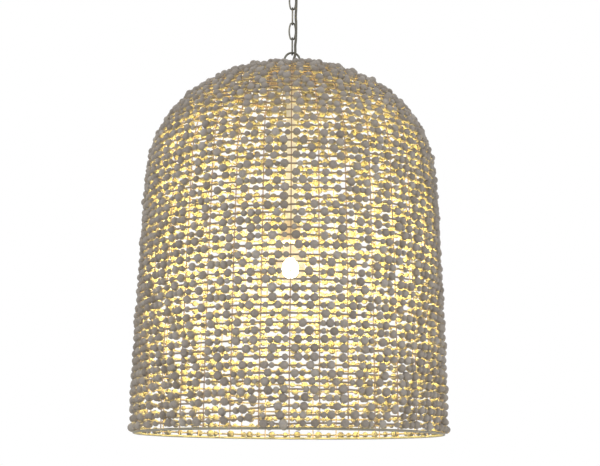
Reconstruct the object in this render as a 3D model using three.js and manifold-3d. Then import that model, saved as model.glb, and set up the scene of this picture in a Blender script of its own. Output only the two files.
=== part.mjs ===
// A dome chandelier: strands of wooden beads wound round a welded wire cage, hung on a short chain
// from a ceiling canopy, with one bulb on a stem inside.
// Lengths are in millimetres, +Z is up, and the origin is the middle of the canopy where it meets the ceiling.
import * as THREE from "three";
import { mergeVertices } from "three/addons/utils/BufferGeometryUtils.js";
import Module from "manifold-3d";

const wasm = await Module();
wasm.setup();

// Clearances
const seatGap = 0.3; // between pieces that touch
const overrun = 1; // how far a cutting tool passes a face

// Shade outline, along the centre of the cage's ribs, with heights above the rim hoop
const rimRadius = 309;
const shoulderRadius = 293.7;
const shoulderHeight = 497;
const crownHeight = 753.5;
const wallBendShare = 1.63; // exponent of the wall's slight flare
const domeOutShare = 2.3; // exponents of the dome's rounding, outwards and upwards
const domeUpShare = 2.15;

// Wire cage
const ribCount = 36;
const ribDiameter = 2.8;
const rimWireDiameter = 4;
const crownRingRadius = 62;
const crownRingWire = 4;
const shortRibTopRadius = 150; // every second rib stops at the crown hoop
const hoopWireDiameter = 3;
const wallSteps = 3;
const domeSteps = 8;

// Bead strands, with fewer turns and beads than the real ones
const strandCount = 6;
const strandTurns = 24;
const strandDiameter = 2.8;
const largeBead = 15.6;
const smallBead = 11;
const beadsPerTurn = 17.5; // the half bead staggers each turn against the one below
const firstRowHeight = 10;
const strandEndGap = 2.4;
const gapSampleStep = 12; // between the points on which the winding's gap to itself is measured

// Chain and loops
const linkCount = 4;
const linkLength = 41;
const linkWidth = 17;
const linkWire = 3.5;
const loopOuterDiameter = 36.5;
const loopWire = 4.5;
const loopBossRadius = 7;
const shankRadius = 5;
const cordBoreRadius = 3.6;
const cordDiameter = 5.5;
const cordTopDrop = 1; // the cord is cut off just below the ceiling

// Ceiling canopy
const canopyRadius = 62;
const canopyHeight = 23.5;
const canopySkin = 1.5;
const canopyRimBand = 3;
const canopyFlatRadius = 13;
const screwCollarRadius = 11;
const screwCollarHeight = 9;
const strapLength = 100;
const strapWidth = 18;
const strapThickness = 2.5;
const strapSlotWidth = 5.2;
const strapSlotLength = 12;
const strapScrewSpacing = 76;
const screwShankRadius = 2.2;
const screwHeadRadius = 4.4;
const screwHeadHeight = 2.8;
const hexAcrossFlats = 16;
const strapNutHeight = 4.5;

// Crown fittings, stem and lamp holder
const crownCapRadius = 28;
const crownCapHeight = 11.5;
const crownPlateRadius = 65;
const crownPlateThickness = 2;
const crownPlateLip = 5;
const crownNutHeight = 6;
const shankBelowNut = 12;
const couplingLength = 20;
const stemRadius = 11;
const stemSkin = 1.2;
const socketStemLength = 314;
const socketCapHeight = 10;
const socketRadius = 21;
const socketLength = 34;
const socketSkin = 1.4;
const linerRoof = 6;
const linerLength = 31;
const screwShellSkin = 0.8;
const bulbCapRadius = 13;
const bulbCapLength = 24;
const bulbContactRadius = 5;
const bulbContactHeight = 2.5;
const bulbNeckRadius = 13.5;
const bulbRadius = 30;
const bulbGlassLength = 83;
const bulbSkin = 1;

// Facets: segments round a ring or a turned piece, and sides of a wire
const largeTurnSegments = 24;
const capTurnSegments = 20;
const tubeTurnSegments = 16;
const screwTurnSegments = 12;
const loopSegments = 16;
const loopSides = 8;
const hoopSides = 4;
const weldedRingSides = 5;
const wireSides = 3;
const cordSides = 8;
const linkArcSteps = 5;

const bay = (2 * Math.PI) / ribCount; // the angle from rib to rib

// Heights, worked out from the ceiling down
const holeRadius = shankRadius + seatGap;
const loopRadius = (loopOuterDiameter - loopWire) / 2;
const contactRise = (loopWire + linkWire) / 2 + seatGap; // loop wire to link wire
const linkContactRise = linkWire + seatGap;
const linkSpan = linkLength - linkWire; // between the centres of a link's end wires
const linkEndRadius = contactRise + seatGap; // of a link's tight ends, so that the thick wire of a loop fits
const bossReach = loopRadius - loopWire / 2 - overrun; // from a loop's centre to the inner end of its boss
const collarTopZ = -canopyHeight - seatGap;
const canopyBossTopZ = collarTopZ - screwCollarHeight - seatGap;
const canopyLoopZ = canopyBossTopZ - overrun - loopOuterDiameter / 2;
const linkTopZ = (i) => canopyLoopZ - loopRadius + contactRise - i * (linkSpan - linkContactRise);
const shadeLoopZ = linkTopZ(linkCount - 1) - linkSpan + contactRise - loopRadius;
const shadeBossBottomZ = shadeLoopZ - loopOuterDiameter / 2 - loopBossRadius;
const crownPlateTopZ = shadeBossBottomZ - seatGap - crownCapHeight - seatGap;
const crownRingZ = crownPlateTopZ + seatGap + crownRingWire / 2;

// Materials
const paint = (color, roughness, metalness) => new THREE.MeshStandardMaterial({ color, roughness, metalness });
const bronze = () => paint(0x5a544c, 0.45, 0.8);
const ribPaint = () => paint(0x8d8072, 0.7, 0.2);
const beadWood = () => paint(0x87817c, 0.9, 0);
const cordCover = () => paint(0x6d655a, 0.8, 0);
const palePaint = () => paint(0xe9e4d8, 0.5, 0.1);
const brass = () => paint(0xb08d57, 0.4, 0.9);
const lampGlass = () => paint(0xfff1d0, 0.2, 0);

// Turns a closed geometry into a solid that can be joined and cut.
function solidOf(geometry) {
  const bare = new THREE.BufferGeometry();
  bare.setAttribute("position", geometry.getAttribute("position"));
  bare.setIndex(geometry.getIndex());
  const merged = mergeVertices(bare, seatGap / 1000);
  return new wasm.Manifold(
    new wasm.Mesh({
      numProp: 3,
      vertProperties: merged.attributes.position.array,
      triVerts: new Uint32Array(merged.index.array),
    }),
  );
}

function indexedGeometry(positions, faces) {
  const geometry = new THREE.BufferGeometry();
  geometry.setAttribute("position", new THREE.BufferAttribute(new Float32Array(positions), 3));
  geometry.setIndex(new THREE.BufferAttribute(new Uint32Array(faces), 1));
  geometry.computeVertexNormals();
  return geometry;
}

function geometryOf(solid) {
  const mesh = solid.getMesh();
  return indexedGeometry(mesh.vertProperties, mesh.triVerts);
}

const join = (geometries) => geometryOf(geometries.map(solidOf).reduce((a, b) => a.add(b)));
const cut = (geometry, tool) => geometryOf(solidOf(geometry).subtract(solidOf(tool)));

// Revolves a closed outline of [radius, z] points about Z, whichever way round it is written.
function turned(outline, segments) {
  const area = outline.reduce((sum, [r, z], i) => {
    const [nextR, nextZ] = outline[(i + 1) % outline.length];
    return sum + r * nextZ - nextR * z;
  }, 0);
  const ordered = area > 0 ? outline : [...outline].reverse();
  const points = [...ordered, ordered[0]].map(([r, z]) => new THREE.Vector2(r, z));
  const geometry = new THREE.LatheGeometry(points, segments);
  geometry.rotateX(Math.PI / 2);
  return geometryOf(solidOf(geometry));
}

const rod = (radius, lowZ, highZ, segments) =>
  turned([[0, lowZ], [radius, lowZ], [radius, highZ], [0, highZ]], segments);
const pipe = (radius, bore, lowZ, highZ, segments) =>
  turned([[bore, lowZ], [radius, lowZ], [radius, highZ], [bore, highZ]], segments);

// A spun shell: an outer outline of [radius, z] points from its hole to its edge, with the skin inside it.
function spunShell(outer, skin, segments) {
  const last = outer.length - 1;
  const inner = outer.map(([r, z], i) => {
    const before = outer[Math.max(i - 1, 0)];
    const after = outer[Math.min(i + 1, last)];
    const along = new THREE.Vector2(after[0] - before[0], after[1] - before[1]).normalize();
    const innerRadius = i === 0 ? r : r + along.y * skin;
    const innerZ = i === last ? z : z - along.x * skin;
    return [innerRadius, innerZ];
  });
  return turned([...outer, ...inner.reverse()], segments);
}

// A tube through stations, each with a point, an outward normal, a tangent and a corner radius.
function tubeThrough(stations, sides, isClosed) {
  const positions = [];
  for (const { point, normal, tangent, radius } of stations) {
    const across = new THREE.Vector3().crossVectors(tangent, normal).normalize();
    const out = new THREE.Vector3().crossVectors(across, tangent).normalize();
    for (let k = 0; k < sides; k++) {
      const angle = (2 * Math.PI * k) / sides;
      const corner = point.clone();
      corner.addScaledVector(out, radius * Math.cos(angle));
      corner.addScaledVector(across, radius * Math.sin(angle));
      positions.push(...corner.toArray());
    }
  }
  const faces = [];
  const rings = stations.length;
  const at = (ring, k) => (ring % rings) * sides + (k % sides);
  for (let ring = 0; ring < (isClosed ? rings : rings - 1); ring++) {
    for (let k = 0; k < sides; k++) {
      faces.push(at(ring, k), at(ring, k + 1), at(ring + 1, k + 1));
      faces.push(at(ring, k), at(ring + 1, k + 1), at(ring + 1, k));
    }
  }
  for (let k = 1; k < sides - 1 && !isClosed; k++) {
    faces.push(at(0, 0), at(0, k + 1), at(0, k));
    faces.push(at(rings - 1, 0), at(rings - 1, k), at(rings - 1, k + 1));
  }
  return indexedGeometry(positions, faces);
}

// A round wire ring about Z.
function wireRing(radius, wire, z, segments, sides) {
  const geometry = new THREE.TorusGeometry(radius, wire / 2, sides, segments);
  geometry.translate(0, 0, z);
  return geometry;
}

// The meridian of the shade: a slightly flared wall, then a dome rounded as a superellipse.
const wallPartShare = 0.55;
class ShadeProfile extends THREE.Curve {
  getPoint(t) {
    if (t < wallPartShare) {
      const up = t / wallPartShare;
      const radius = rimRadius + (shoulderRadius - rimRadius) * Math.pow(up, wallBendShare);
      return new THREE.Vector2(radius, shoulderHeight * up);
    }
    const turn = ((t - wallPartShare) / (1 - wallPartShare)) * (Math.PI / 2);
    const radius = shoulderRadius * Math.pow(Math.max(Math.cos(turn), 0), 2 / domeOutShare);
    const rise = (crownHeight - shoulderHeight) * Math.pow(Math.sin(turn), 2 / domeUpShare);
    return new THREE.Vector2(radius, shoulderHeight + rise);
  }
}
const profileDivisions = 900;
const profile = new ShadeProfile();
profile.arcLengthDivisions = profileDivisions;
const profileLength = profile.getLength();

// Halves a range of shares until it closes on the place where a test first holds.
const searchSteps = 30;
function firstShare(test) {
  let low = 0;
  let high = 1;
  for (let i = 0; i < searchSteps; i++) {
    const middle = (low + high) / 2;
    if (test(middle)) {
      high = middle;
    } else {
      low = middle;
    }
  }
  return high;
}
const shareAtHeight = (height) => firstShare((share) => profile.getPointAt(share).y >= height);
const shareAtRadius = (radius) => firstShare((share) => profile.getPointAt(share).x <= radius);
const shoulderShare = shareAtHeight(shoulderHeight);
const crownRingShare = shareAtRadius(crownRingRadius);
const shortRibShare = shareAtRadius(shortRibTopRadius);
const rimZ = crownRingZ - profile.getPointAt(crownRingShare).y;

// A place on the shade, lifted off the ribs' centres along the outward normal.
function onShade(share, angle, lift) {
  const place = profile.getPointAt(share);
  const slope = profile.getTangentAt(share);
  const radial = new THREE.Vector3(Math.cos(angle), Math.sin(angle), 0);
  const up = new THREE.Vector3(0, 0, 1);
  const normal = radial.clone().multiplyScalar(slope.y).addScaledVector(up, -slope.x);
  const climb = radial.clone().multiplyScalar(slope.x).addScaledVector(up, slope.y);
  const point = radial.clone().multiplyScalar(place.x).addScaledVector(up, rimZ + place.y);
  point.addScaledVector(normal, lift);
  return { point, normal, climb, radius: place.x };
}

// Wire cage: ribs welded to the rim hoop and the crown ring.
// A rib has one flat side outwards, which the strands rest on.
const thinWireShare = 1.25; // corner radius over wire radius, so that a three-sided wire looks as thick
const ribCorner = (ribDiameter / 2) * thinWireShare;
const ribFace = ribCorner * Math.cos(Math.PI / wireSides);

function rib(angle, topShare) {
  const shares = [];
  for (let i = 0; i < wallSteps; i++) {
    shares.push((shoulderShare * i) / wallSteps);
  }
  const step = (crownRingShare - shoulderShare) / domeSteps;
  for (let share = shoulderShare; share < topShare - step / 2; share += step) {
    shares.push(share);
  }
  shares.push(topShare);
  const stations = shares.map((share) => {
    const { point, normal, climb } = onShade(share, angle, 0);
    return { point, normal: normal.negate(), tangent: climb, radius: ribCorner };
  });
  return tubeThrough(stations, wireSides, false);
}

function wireCage() {
  const pieces = [
    wireRing(rimRadius, rimWireDiameter, rimZ, ribCount, weldedRingSides),
    wireRing(crownRingRadius, crownRingWire, crownRingZ, ribCount / 2, weldedRingSides),
  ];
  for (let i = 0; i < ribCount; i++) {
    const topShare = i % 2 === 0 ? crownRingShare : shortRibShare;
    pieces.push(rib(i * bay, topShare));
  }
  return join(pieces);
}

// A hoop laid inside the ribs.
function innerHoop(share) {
  const { point } = onShade(share, 0, -ribCorner - seatGap - hoopWireDiameter / 2);
  return wireRing(point.x, hoopWireDiameter, point.z, ribCount, hoopSides);
}

// Bead strands: one right-handed helix up the outside of the ribs, cut into lengths, with its beads in the
// bays between the ribs. A strand runs straight from bead to bead, and its flat side rests on the ribs.
const strandCorner = (strandDiameter / 2) * thinWireShare;
const strandLift = ribFace + seatGap + strandCorner * Math.cos(Math.PI / wireSides);
const beadCorner = (size) => size / 2 / Math.sin(Math.PI / wireSides);
const windingStart = firstRowHeight / profileLength;
const windingEnd = shareAtRadius(crownRingRadius + crownRingWire / 2 + largeBead / 2 + overrun);
const windingRise = (windingEnd - windingStart) / strandTurns; // share of the profile for one turn
const helixShare = (angle) => windingStart + (windingRise * angle) / (2 * Math.PI);
const helixRadius = (angle) => onShade(helixShare(angle), angle, 0).radius;

function helixStation(angle, lift, radius) {
  const place = onShade(helixShare(angle), angle, lift);
  const tangent = new THREE.Vector3(-Math.sin(angle), Math.cos(angle), 0).multiplyScalar(place.radius);
  tangent.addScaledVector(place.climb, (windingRise * profileLength) / (2 * Math.PI));
  return { angle, point: place.point, normal: place.normal, tangent: tangent.normalize(), radius };
}

// How far the ends of a straight run stand off, so that it still clears the ribs that it crosses.
function chordLift(fromAngle, toAngle) {
  const radius = helixRadius(fromAngle);
  let lift = 0;
  for (let i = Math.ceil(fromAngle / bay); i * bay < toAngle; i++) {
    const before = i * bay - fromAngle;
    const after = toAngle - i * bay;
    lift = Math.max(lift, (radius * before * after) / 2);
  }
  return lift;
}

// Large and small beads in turn, as long as the bays have room for large ones.
function strandBeads(fromBay, toBay) {
  const beads = [];
  for (let i = Math.ceil((fromBay / ribCount) * beadsPerTurn); ; i++) {
    const inBay = Math.floor((i / beadsPerTurn) * ribCount);
    if (inBay >= toBay - 1) {
      return beads;
    }
    const angle = (inBay + 1 / 2) * bay;
    const hasRoom = helixRadius(angle) * bay > largeBead + ribDiameter;
    const size = i % 2 === 0 && hasRoom ? largeBead : smallBead;
    beads.push({ angle, size, halfAngle: size / 2 / helixRadius(angle) });
  }
}

function strandStations(fromBay, toBay) {
  const beads = strandBeads(fromBay, toBay);
  const startAngle = fromBay * bay;
  const endAngle = toBay * bay;
  const runs = [];
  let from = startAngle + strandEndGap / 2 / helixRadius(startAngle);
  for (const bead of beads) {
    runs.push({ from, to: bead.angle - bead.halfAngle });
    from = bead.angle + bead.halfAngle;
  }
  runs.push({ from, to: endAngle - strandEndGap / 2 / helixRadius(endAngle) });
  const stations = [];
  let lastLift = 0;
  runs.forEach((run, i) => {
    const lift = strandLift + chordLift(run.from, run.to);
    if (i > 0) {
      const bead = beads[i - 1];
      stations.push(helixStation(bead.angle, (lastLift + lift) / 2, beadCorner(bead.size)));
    }
    stations.push(helixStation(run.from, lift, strandCorner));
    stations.push(helixStation(run.to, lift, strandCorner));
    lastLift = lift;
  });
  return stations;
}

// The winding's least gap to itself, on points along it, from a turn to the turns beside it.
function leastTurnGap(stations) {
  const samples = [];
  for (let i = 1; i < stations.length; i++) {
    const [a, b] = [stations[i - 1], stations[i]];
    const count = Math.ceil(a.point.distanceTo(b.point) / gapSampleStep);
    for (let k = 0; k < count; k++) {
      const along = k / count;
      samples.push({
        angle: a.angle + (b.angle - a.angle) * along,
        point: a.point.clone().lerp(b.point, along),
        radius: a.radius + (b.radius - a.radius) * along,
      });
    }
  }
  let least = Infinity;
  samples.forEach((a, i) => {
    for (const b of samples.slice(i + 1)) {
      if (b.angle - a.angle > Math.PI) {
        least = Math.min(least, a.point.distanceTo(b.point) - a.radius - b.radius);
      }
    }
  });
  return least;
}

// An oval chain link in the XZ plane, centred on the origin: each bowed side is an arc that runs smoothly
// into the two tight end arcs.
function chainLink() {
  const halfWidth = (linkWidth - linkWire) / 2;
  const endZ = linkSpan / 2 - linkEndRadius;
  const bow = halfWidth - linkEndRadius;
  const sideCentre = (endZ * endZ - bow * bow) / (2 * bow);
  const meeting = Math.atan2(endZ, sideCentre); // angle at which a side meets an end
  const stations = [];
  const addStation = (angle, arcRadius, centreZ) => {
    const normal = new THREE.Vector3(Math.cos(angle), 0, Math.sin(angle));
    const point = normal.clone().multiplyScalar(arcRadius);
    point.z += centreZ;
    const tangent = new THREE.Vector3(-Math.sin(angle), 0, Math.cos(angle));
    stations.push({ point, normal, tangent, radius: linkWire / 2 });
  };
  for (const end of [1, -1]) {
    const start = end > 0 ? 0 : Math.PI;
    addStation(start, halfWidth, 0);
    for (let i = 0; i <= linkArcSteps; i++) {
      const angle = start + meeting + ((Math.PI - 2 * meeting) * i) / linkArcSteps;
      addStation(angle, linkEndRadius, end * endZ);
    }
  }
  return tubeThrough(stations, loopSides, true);
}

// A loop on a hollow shank: the ring in the XZ plane about the origin, its boss and shank going down.
function hollowLoop(bossEnd, shankEnd) {
  const ring = new THREE.TorusGeometry(loopRadius, loopWire / 2, loopSides, loopSegments);
  ring.rotateX(Math.PI / 2);
  const boss = rod(loopBossRadius, bossEnd, -bossReach, tubeTurnSegments);
  const shank = rod(shankRadius, shankEnd, bossEnd + overrun, tubeTurnSegments);
  const bore = rod(cordBoreRadius, shankEnd - overrun, -bossReach + overrun, tubeTurnSegments);
  return cut(join([ring, boss, shank]), bore);
}

function hexNut(lowZ, highZ) {
  const corner = hexAcrossFlats / 2 / Math.cos(Math.PI / 6);
  const hole = rod(holeRadius, lowZ - overrun, highZ + overrun, screwTurnSegments);
  return cut(rod(corner, lowZ, highZ, 6), hole);
}

// Ceiling mount
function roundEnded(path, centreX, length, width) {
  const half = (length - width) / 2;
  path.absarc(centreX + half, 0, width / 2, -Math.PI / 2, Math.PI / 2, false);
  path.absarc(centreX - half, 0, width / 2, Math.PI / 2, (3 * Math.PI) / 2, false);
  path.closePath();
  return path;
}

function mountingStrap() {
  const outline = roundEnded(new THREE.Shape(), 0, strapLength, strapWidth);
  const centreHole = new THREE.Path().absarc(0, 0, holeRadius, 0, 2 * Math.PI, true);
  const slots = [-1, 1].map((side) =>
    roundEnded(new THREE.Path(), (side * strapScrewSpacing) / 2, strapSlotLength, strapSlotWidth),
  );
  outline.holes = [centreHole, ...slots];
  const settings = { depth: strapThickness, bevelEnabled: false, curveSegments: 5 };
  const geometry = new THREE.ExtrudeGeometry(outline, settings);
  geometry.translate(0, 0, -strapThickness);
  return geometryOf(solidOf(geometry));
}

const strapBottomZ = -strapThickness - seatGap;
const headCrownShare = 0.7; // width of a screw head's flat top

function strapScrew() {
  return turned(
    [
      [0, 0],
      [screwShankRadius, 0],
      [screwShankRadius, strapBottomZ],
      [screwHeadRadius, strapBottomZ],
      [screwHeadRadius, strapBottomZ - screwHeadHeight / 2],
      [screwHeadRadius * headCrownShare, strapBottomZ - screwHeadHeight],
      [0, strapBottomZ - screwHeadHeight],
    ],
    screwTurnSegments,
  );
}

// A shallow bowl with a flat middle and a turned-in rim, which lies on the ceiling.
function canopyShell() {
  const curveSteps = 5;
  const bulge = canopyRadius - canopyFlatRadius;
  const outer = [[holeRadius, -canopyHeight]];
  const inner = [[holeRadius, canopySkin - canopyHeight]];
  for (let i = 0; i <= curveSteps; i++) {
    const turn = (Math.PI / 2) * (1 - i / curveSteps);
    const radius = canopyFlatRadius + bulge * Math.cos(turn);
    const z = -canopyRimBand - (canopyHeight - canopyRimBand) * Math.sin(turn);
    outer.push([radius, z]);
    inner.push([radius - canopySkin * Math.cos(turn), z + canopySkin * Math.sin(turn)]);
  }
  const rim = [
    [canopyRadius, 0],
    [canopyRadius - canopyRimBand, 0],
    [canopyRadius - canopyRimBand, -canopySkin],
    [canopyRadius - canopySkin, -canopySkin],
  ];
  return turned([...outer, ...rim, ...inner.reverse()], largeTurnSegments);
}

function screwCollar() {
  const bevel = screwCollarHeight / 5;
  const low = collarTopZ - screwCollarHeight;
  return turned(
    [
      [holeRadius, collarTopZ],
      [screwCollarRadius, collarTopZ],
      [screwCollarRadius, low + bevel],
      [screwCollarRadius - bevel, low],
      [holeRadius, low],
    ],
    capTurnSegments,
  );
}

// Crown fittings
function crownCap() {
  const topZ = shadeBossBottomZ - seatGap;
  const edge = canopySkin; // height of the cap's upright edge
  const outer = [[holeRadius, topZ]];
  for (const share of [0, 0.4, 0.75, 1]) {
    const radius = loopBossRadius + (crownCapRadius - loopBossRadius) * share;
    outer.push([radius, topZ - (crownCapHeight - edge) * share * share]);
  }
  outer.push([crownCapRadius, topZ - crownCapHeight]);
  return spunShell(outer, canopySkin, capTurnSegments);
}

// A plate with a turned-down lip, which carries the cage by its crown ring.
function crownPlate() {
  const lowZ = crownPlateTopZ - crownPlateThickness;
  const lipZ = crownPlateTopZ - crownPlateLip;
  return turned(
    [
      [holeRadius, crownPlateTopZ],
      [crownPlateRadius, crownPlateTopZ],
      [crownPlateRadius, lipZ],
      [crownPlateRadius - crownPlateThickness, lipZ],
      [crownPlateRadius - crownPlateThickness, lowZ],
      [holeRadius, lowZ],
    ],
    largeTurnSegments,
  );
}

// Stem, lamp holder and bulb, with their heights worked out from the crown plate down
const crownNutTopZ = crownPlateTopZ - crownPlateThickness - seatGap;
const shankEndZ = crownNutTopZ - crownNutHeight - shankBelowNut;
const stemBore = stemRadius - stemSkin;
const couplingTopZ = shankEndZ + couplingLength / 2;
const stemBottomZ = crownNutTopZ - socketStemLength;
const socketCapTopZ = stemBottomZ + socketCapHeight / 3;
const socketTopZ = socketCapTopZ - socketCapHeight - seatGap;
const linerRadius = socketRadius - socketSkin - seatGap;
const linerRoofZ = socketTopZ - linerRoof;
const screwShellBore = bulbCapRadius + seatGap;
const screwShellRadius = screwShellBore + screwShellSkin;
const screwShellTopZ = linerRoofZ - seatGap;
const bulbCapTopZ = screwShellTopZ - bulbContactHeight - seatGap;
const bulbCapBottomZ = bulbCapTopZ - bulbCapLength;
const bulbGlassTopZ = bulbCapBottomZ - seatGap;

// The stem is a tube that hides the crown nut, and is centred on the shank by the coupling inside it.
const stemCoupling = () =>
  pipe(stemBore - seatGap, holeRadius, couplingTopZ - couplingLength, couplingTopZ, tubeTurnSegments);
const socketStem = () => pipe(stemRadius, stemBore, stemBottomZ, crownNutTopZ, tubeTurnSegments);
const socketShell = () =>
  pipe(socketRadius, socketRadius - socketSkin, socketTopZ - socketLength, socketTopZ, capTurnSegments);
const screwShell = () =>
  pipe(screwShellRadius, screwShellBore, screwShellTopZ - bulbCapLength, screwShellTopZ, tubeTurnSegments);

function socketCap() {
  const bore = stemRadius + seatGap;
  const shoulder = bore + socketSkin;
  const outer = [[bore, socketCapTopZ]];
  for (const share of [0, 0.35, 0.7, 1]) {
    const radius = shoulder + (socketRadius - shoulder) * Math.sin((share * Math.PI) / 2);
    outer.push([radius, socketCapTopZ - socketCapHeight * share]);
  }
  return spunShell(outer, socketSkin, tubeTurnSegments);
}

// A cup of insulation with a hole for the cord in its roof.
function socketLiner() {
  const lowZ = socketTopZ - linerLength;
  const bore = screwShellRadius + seatGap;
  return turned(
    [
      [cordBoreRadius, socketTopZ],
      [linerRadius, socketTopZ],
      [linerRadius, lowZ],
      [bore, lowZ],
      [bore, linerRoofZ],
      [cordBoreRadius, linerRoofZ],
    ],
    tubeTurnSegments,
  );
}

function bulbCap() {
  return turned(
    [
      [0, bulbCapTopZ + bulbContactHeight],
      [bulbContactRadius, bulbCapTopZ + bulbContactHeight],
      [bulbContactRadius, bulbCapTopZ],
      [bulbCapRadius, bulbCapTopZ - bulbContactHeight],
      [bulbCapRadius, bulbCapBottomZ],
      [0, bulbCapBottomZ],
    ],
    tubeTurnSegments,
  );
}

// The bulb's glass: a ball below, drawn in to the neck above.
const ballTurns = [-1.15, -0.75, -0.35, 0.05, 0.3]; // angles up the ball at which its outline has points
const neckShare = 0.24; // height of each step of the neck, of the way from the ball's centre to the top

function bulbGlass() {
  const ballZ = bulbGlassTopZ - bulbGlassLength + bulbRadius;
  const neckStep = (bulbGlassTopZ - ballZ) * neckShare;
  const lastTurn = ballTurns[ballTurns.length - 1];
  const wall = (inset) => {
    const radius = bulbRadius - inset;
    const ball = ballTurns.map((turn) => [radius * Math.cos(turn), ballZ + radius * Math.sin(turn)]);
    const neck = [
      [(radius + bulbNeckRadius) / 2, ballZ + radius * Math.sin(lastTurn) + neckStep],
      [bulbNeckRadius + bulbSkin - inset, bulbGlassTopZ - neckStep],
      [bulbNeckRadius - inset, bulbGlassTopZ],
    ];
    return [[0, ballZ - radius], ...ball, ...neck];
  };
  return turned([...wall(0), ...wall(bulbSkin).reverse()], tubeTurnSegments);
}

// The lamp cord's route: out of the canopy, down beside the chain, in front of the face-on links, through the
// shade's loop and into its shank. Points are chosen by hand.
const cordPoints = [
  [0, 0, -1],
  [0, 0, -12],
  [0, 0, -24],
  [0, 0, -36],
  [0.1, 0, -43],
  [1.7, -0.6, -48.5],
  [4.5, -2, -54.5],
  [6.9, -3.8, -60.5],
  [7.6, -5, -66.5],
  [7.7, -5.2, -73],
  [7.9, -5.3, -80],
  [8, -5.3, -86],
  [7.9, -5.3, -93],
  [7.7, -5.2, -99.5],
  [7.5, -5, -105.5],
  [7.1, -3.4, -111],
  [7, -2.4, -117],
  [7.1, -3.4, -123],
  [7.6, -5, -128.5],
  [7.8, -5.2, -134.5],
  [7.9, -5.3, -142],
  [8, -5.3, -149],
  [7.9, -5.3, -157],
  [7.7, -5.2, -165],
  [7.5, -5.1, -172.5],
  [6.7, -3.6, -179],
  [6.4, -3.2, -185],
  [6.5, -4.6, -191],
  [6.6, -5.8, -197],
  [6.3, -5.6, -202.5],
  [5.2, -4.3, -208.5],
  [3.2, -2.6, -214.5],
  [1.1, -0.9, -220],
  [0.1, 0, -225],
  [0, 0, -231],
  [0, 0, -237],
];
const cordRoute = new THREE.CatmullRomCurve3(cordPoints.map(([x, y, z]) => new THREE.Vector3(x, y, z)));

// The part of the cord's route between two heights.
const routeShare = (z) => firstShare((share) => cordRoute.getPoint(share).z <= z);
class CordPortion extends THREE.Curve {
  constructor(highZ, lowZ) {
    super();
    this.from = routeShare(highZ);
    this.to = routeShare(lowZ);
  }
  getPoint(t) {
    return cordRoute.getPoint(this.from + (this.to - this.from) * t);
  }
}

function cordPiece(highZ, lowZ, steps) {
  const section = new THREE.Shape();
  for (let k = 0; k < cordSides; k++) {
    const angle = (2 * Math.PI * (k + 1 / 2)) / cordSides;
    const move = k === 0 ? "moveTo" : "lineTo";
    section[move]((cordDiameter / 2) * Math.cos(angle), (cordDiameter / 2) * Math.sin(angle));
  }
  section.closePath();
  const extrudePath = new CordPortion(highZ, lowZ);
  return geometryOf(solidOf(new THREE.ExtrudeGeometry(section, { steps, extrudePath, bevelEnabled: false })));
}

// Assembly
function place(parent, name, geometry, material) {
  const mesh = new THREE.Mesh(geometry, material);
  mesh.name = name;
  parent.add(mesh);
  return mesh;
}

const chandelier = new THREE.Group();
const ceilingMount = new THREE.Group();
const shade = new THREE.Group();
chandelier.add(ceilingMount, shade);

place(ceilingMount, "mounting_strap", mountingStrap(), bronze());
[-1, 1].forEach((side, i) => {
  const screw = place(ceilingMount, `strap_screw_${i + 1}`, strapScrew(), brass());
  screw.position.x = (side * strapScrewSpacing) / 2;
});
place(ceilingMount, "strap_nut", hexNut(strapBottomZ - strapNutHeight, strapBottomZ), brass());
place(ceilingMount, "canopy", canopyShell(), bronze());
place(ceilingMount, "screw_collar", screwCollar(), bronze());
// The loop is made with its shank down, so here it is turned over, and a quarter turn about Z.
const canopyLoopGeometry = hollowLoop(canopyLoopZ - canopyBossTopZ, canopyLoopZ + cordTopDrop);
const canopyLoop = place(ceilingMount, "canopy_loop", canopyLoopGeometry, bronze());
canopyLoop.position.z = canopyLoopZ;
canopyLoop.rotation.set(Math.PI, 0, Math.PI / 2);

// The cord is cut at the middle of each link, so that each length crosses one joint of the chain.
const cordCuts = [-cordTopDrop];
for (let i = 0; i < linkCount; i++) {
  const link = place(chandelier, `chain_link_${i + 1}`, chainLink(), bronze());
  link.position.z = linkTopZ(i) - linkSpan / 2;
  link.rotation.z = i % 2 === 0 ? 0 : Math.PI / 2;
  cordCuts.push(link.position.z);
}
cordCuts.push(shadeLoopZ - bossReach - overrun);
for (let i = 0; i + 1 < cordCuts.length; i++) {
  const steps = i === 0 ? 14 : 8;
  const piece = cordPiece(cordCuts[i] - seatGap / 2, cordCuts[i + 1] + seatGap / 2, steps);
  place(chandelier, `cord_${i + 1}`, piece, cordCover());
}

const shadeLoopGeometry = hollowLoop(shadeBossBottomZ - shadeLoopZ, shankEndZ - shadeLoopZ);
const shadeLoop = place(shade, "shade_loop", shadeLoopGeometry, bronze());
shadeLoop.position.z = shadeLoopZ;
const cordInStemTopZ = cordCuts[cordCuts.length - 1] - seatGap / 2;
const cordInStem = rod(cordDiameter / 2, socketTopZ - linerRoof / 2, cordInStemTopZ, cordSides);
place(shade, "cord_in_stem", cordInStem, cordCover());
place(shade, "crown_cap", crownCap(), bronze());
place(shade, "crown_plate", crownPlate(), ribPaint());
place(shade, "crown_nut", hexNut(crownNutTopZ - crownNutHeight, crownNutTopZ), brass());
place(shade, "stem_coupling", stemCoupling(), palePaint());
place(shade, "socket_stem", socketStem(), palePaint());
place(shade, "socket_cap", socketCap(), palePaint());
place(shade, "socket_shell", socketShell(), palePaint());
place(shade, "socket_liner", socketLiner(), palePaint());
place(shade, "socket_screw_shell", screwShell(), brass());
place(shade, "bulb_cap", bulbCap(), brass());
place(shade, "bulb_glass", bulbGlass(), lampGlass());
place(shade, "wire_cage", wireCage(), ribPaint());
place(shade, "crown_hoop", innerHoop(shortRibShare), ribPaint());

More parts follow.
